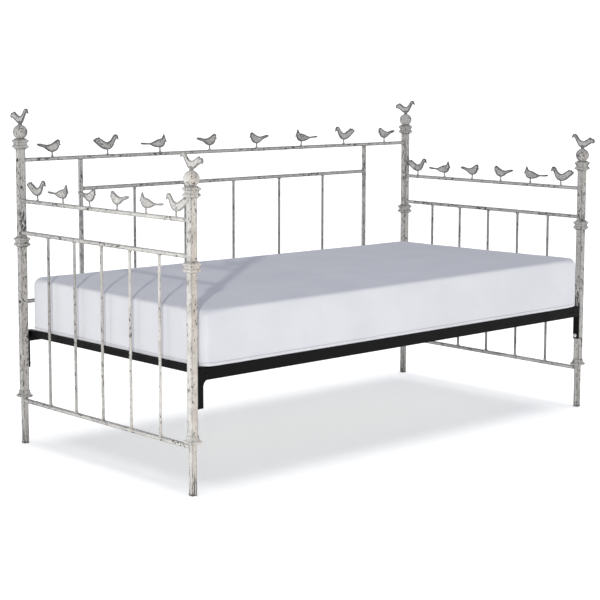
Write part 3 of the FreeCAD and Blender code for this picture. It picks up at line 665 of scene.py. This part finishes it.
def stops_along(low, high):
    """Grid lines along one side of the block, closer together near its ends."""
    near = [k * EDGE_STEP for k in range(EDGE_LINES)]
    reach = high - low - 2 * near[-1]
    count = round(reach / FACE_STEP)
    inner = [low + near[-1] + reach * k / count for k in range(1, count)]
    return [low + d for d in near] + inner + [high - d for d in reversed(near)]


def rounded(point, low, high):
    """Move a point of the sharp block on to the block with rounded corners and edges.
    The edges are rounder near the corners."""
    apart = Vector([min(point[i] - low[i], high[i] - point[i]) for i in (0, 1)]).length
    near = max(0.0, 1 - apart / CORNER_REACH) ** 2
    edge = EDGE + (CORNER_EDGE - EDGE) * near
    if point.z < (low.z + high.z) / 2:
        edge = LOW_EDGE
    hub = Vector([min(max(point[i], low[i] + CORNER), high[i] - CORNER) for i in (0, 1)])
    out = Vector(point[:2]) - hub
    if out.length > CORNER - edge:
        out = out.normalized() * (CORNER - edge)
    core = Vector((*(hub + out), min(max(point.z, low.z + edge), high.z - edge)))
    away = point - core
    return core + away.normalized() * edge


def padded_block(name, low, high):
    """Quad mesh of the rounded block, with a grid on each of its six faces."""
    lines = [stops_along(low[i], high[i]) for i in range(3)]
    shape = bmesh.new()
    made = {}

    def corner(key):
        if key not in made:
            spot = Vector([lines[i][key[i]] for i in range(3)])
            made[key] = shape.verts.new(rounded(spot, low, high))
        return made[key]

    for axis in range(3):
        first, second = [i for i in range(3) if i != axis]
        cells = [(i, j) for i in range(len(lines[first]) - 1) for j in range(len(lines[second]) - 1)]
        for end in (0, len(lines[axis]) - 1):
            for i, j in cells:
                face = []
                for di, dj in ((0, 0), (1, 0), (1, 1), (0, 1)):
                    key = [0, 0, 0]
                    key[axis], key[first], key[second] = end, i + di, j + dj
                    face.append(corner(tuple(key)))
                shape.faces.new(face)
    return mesh_object(name, shape)


def apply_all(piece):
    """Apply every modifier of a piece."""
    bpy.ops.object.select_all(action="DESELECT")
    piece.select_set(True)
    bpy.context.view_layer.objects.active = piece
    for modifier in list(piece.modifiers):
        bpy.ops.object.modifier_apply(modifier=modifier.name)


def swollen(piece):
    """Blow the cover up a little with cloth pressure, then cap how far each point may move."""
    rest = [v.co.copy() for v in piece.data.vertices]
    cloth = piece.modifiers.new("cloth", "CLOTH")
    cloth.settings.quality = 5
    cloth.settings.mass = 0.3
    cloth.settings.tension_stiffness = 25
    cloth.settings.compression_stiffness = 25
    cloth.settings.bending_stiffness = 2.0
    cloth.settings.use_pressure = True
    cloth.settings.uniform_pressure_force = 4
    cloth.settings.effector_weights.gravity = 0
    cloth.point_cache.frame_start, cloth.point_cache.frame_end = 1, SWELL_FRAMES
    for number in range(1, SWELL_FRAMES + 1):
        bpy.context.scene.frame_set(number)
    apply_all(piece)
    bpy.context.scene.frame_set(1)
    for vertex, start in zip(piece.data.vertices, rest):
        shift = vertex.co - start
        if shift.length > SWELL_CAP:
            shift *= SWELL_CAP / shift.length
        vertex.co = start + shift


def sag(along):
    """How far the underside hangs below the end rails at a place along the bed."""
    return SAG * min(1.0, max(0.0, (SAG_ENDS[0] - abs(along)) / (SAG_ENDS[0] - SAG_ENDS[1])))


def settled(piece, low, high):
    """Fill the outline again where the swelling drew the sides in, and sit flat on the frame.
    The filling is a little fuller at the front right and rear left corners."""
    reach = [max(abs(v.co[i] - (low[i] + high[i]) / 2) for v in piece.data.vertices) for i in (0, 1)]
    for vertex in piece.data.vertices:
        spot = vertex.co
        for i in (0, 1):
            middle = (low[i] + high[i]) / 2
            spot[i] = middle + (spot[i] - middle) * (high[i] - middle) / reach[i]
        up = max(0.0, (spot.z - low.z) / (high.z - low.z))
        along, across = spot.x / high.x, spot.y / high.y
        fuller = UNEVEN * (0.15 * noise.noise(spot * 3) - along * across)
        spot.z = max(low.z + 0.0005, spot.z + fuller * up * up) - sag(spot.x) * (1 - up) ** 2


def mattress(cloth_material, piping_material):
    """The padded cover that stands for the CAD block, and its piping."""
    low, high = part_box("mattress")
    inset = Vector((SHRINK, SHRINK, SHRINK))
    start_low = low + inset
    start_low.z = low.z
    piece = padded_block("padded_mattress", start_low, high - inset)
    swollen(piece)
    settled(piece, low, high)
    softened = piece.modifiers.new("soften", "SUBSURF")
    softened.levels = softened.render_levels = 1
    apply_all(piece)
    for polygon in piece.data.polygons:
        polygon.use_smooth = True
    finish_piece(piece, "mattress", CLOTH_SLOT, cloth_material, "mattress")
    piping(piece, low, high, piping_material)


def outline(low, high, corner, spacing):
    """Points and outward directions round a rectangle with round corners."""
    found = []
    for way_x, way_y, start in ((1, 1, 0), (-1, 1, 90), (-1, -1, 180), (1, -1, 270)):
        hub = Vector((high.x - corner if way_x > 0 else low.x + corner,
                      high.y - corner if way_y > 0 else low.y + corner, 0))
        for k in range(ARC_STEPS + 1):
            turn = math.radians(start + 90 * k / ARC_STEPS)
            out = Vector((math.cos(turn), math.sin(turn), 0))
            found.append((hub + out * corner, out))
    points = []
    for (point, out), (following, next_out) in zip(found, found[1:] + found[:1]):
        steps = max(1, round((following - point).length / spacing))
        for k in range(steps):
            part = k / steps
            points.append((point.lerp(following, part), out.lerp(next_out, part).normalized()))
    return points


def piping(piece, low, high, material):
    """Sewn cord round the lower edge of the mattress, laid on the cover as it came out."""
    bpy.context.view_layer.update()
    surface = BVHTree.FromObject(piece, bpy.context.evaluated_depsgraph_get())
    shape = bmesh.new()
    level = low.z + PIPING_LEVEL
    points = []
    for point, out in outline(low, high, CORNER, PIPING_STEP):
        start = Vector((point.x, point.y, level - sag(point.x))) + out * 0.05
        hit = surface.ray_cast(start, -out, 0.15)[0]
        points.append((hit if hit else start - out * 0.055) - out * PIPING_SUNK)
    sweep(shape, points, PIPING_RADIUS, sides=8, closed=True)
    finish_piece(mesh_object("mattress_piping", shape), "mattress", CLOTH_SLOT, material)


# ---------------------------------------------------------------- finishes of the CAD nodes

LONG_X, LONG_Y, LONG_Z, EVEN = (0.4, 1, 1), (1, 0.4, 1), (1, 1, 0.38), (1, 1, 1)   # shapes of the chips


def paints():
    """The same aged paint as it has worn on each kind of piece."""
    rail = dict(wear=0.9, rim_wide=0.0045)
    casting = dict(rim_share=1.3, rim_wide=0.004, rim_sharp=0.96, shade=0.15)
    # shade sets, for each kind of piece, how much further the painted shade towards the back right
    # darkens it
    return {
        "upright": aged_and_shaded_paint("paint_upright", LONG_Z, wear=1.05, rim_share=1.3, shade=0.12),
        "rod": aged_and_shaded_paint("paint_rod", LONG_Z, wear=1.2, shade=0.75, stain_and_shade=0.25),
        "foot": aged_and_shaded_paint("paint_foot", LONG_Z, wear=1.15, rim_share=1.3, shade=0.12, scuffed_feet=True),
        "along_x": aged_and_shaded_paint("paint_rail_x", LONG_X, rim_share=2.2, **rail),
        "along_y": aged_and_shaded_paint("paint_rail_y", LONG_Y, rim_share=1.8, **rail),
        "cast": aged_and_shaded_paint("paint_cast", EVEN, wear=1.35, **casting),
        "ball": aged_and_shaded_paint("paint_ball", EVEN, wear=1.5, **casting),
        "plate": aged_and_shaded_paint("paint_plate", EVEN, rim_share=2.4, rim_wide=0.010, rim_sharp=0.985),
    }


def dress():
    """Put the finishes on the CAD nodes and return those that new pieces share."""
    paint = paints()
    black = black_enamel("black_enamel")
    wire = bright_metal("spring_wire", (0.42, 0.42, 0.43), (0.24, 0.24, 0.25), 0.38)
    zinc = bright_metal("zinc_plate", (0.72, 0.71, 0.68), (0.48, 0.47, 0.45), 0.26)
    dark = bright_metal("dark_screw", (0.10, 0.095, 0.09), (0.05, 0.048, 0.045), 0.45)
    glide = glide_plastic("glide_plastic")
    finishes = (("_leg", paint["foot"]), ("_post", paint["upright"]), ("_upright", paint["upright"]),
                ("spindles", paint["rod"]), ("collar", paint["cast"]), ("ball_finial", paint["ball"]),
                ("bird", paint["plate"]), ("leg_glides", glide),
                ("bracket_bolts", zinc), ("bracket_nuts", zinc), ("back_panel_screws", dark),
                ("_brackets", black), ("_side_rail", black), ("_end_rail", black),
                ("frame_rivets", black), ("wires", wire), ("helical_springs", wire))
    for name, node in NODES.items():
        chosen = None
        for word, finish in finishes:
            if word in name:
                chosen = finish
        if chosen is None:
            chosen = paint["along_y" if "_arm_" in name else "along_x"]
        node.data.materials.clear()
        node.data.materials.append(chosen)
    return paint["cast"], wire


bpy.context.scene.view_settings.view_transform = "Standard"
camera()
world()
key = area_light("key", *KEY_LAMP)
side = area_light("side", *SIDE_LAMP)
floor_light(floor(), key, side)
cast_paint, wire_steel = dress()
weld_beads(cast_paint)
helical_springs(wire_steel)
mesh_links(wire_steel)
mattress(ticking("ticking", TICKING, TICKING_SHADE), ticking("piping_cloth", PIPING, PIPING_SHADE))
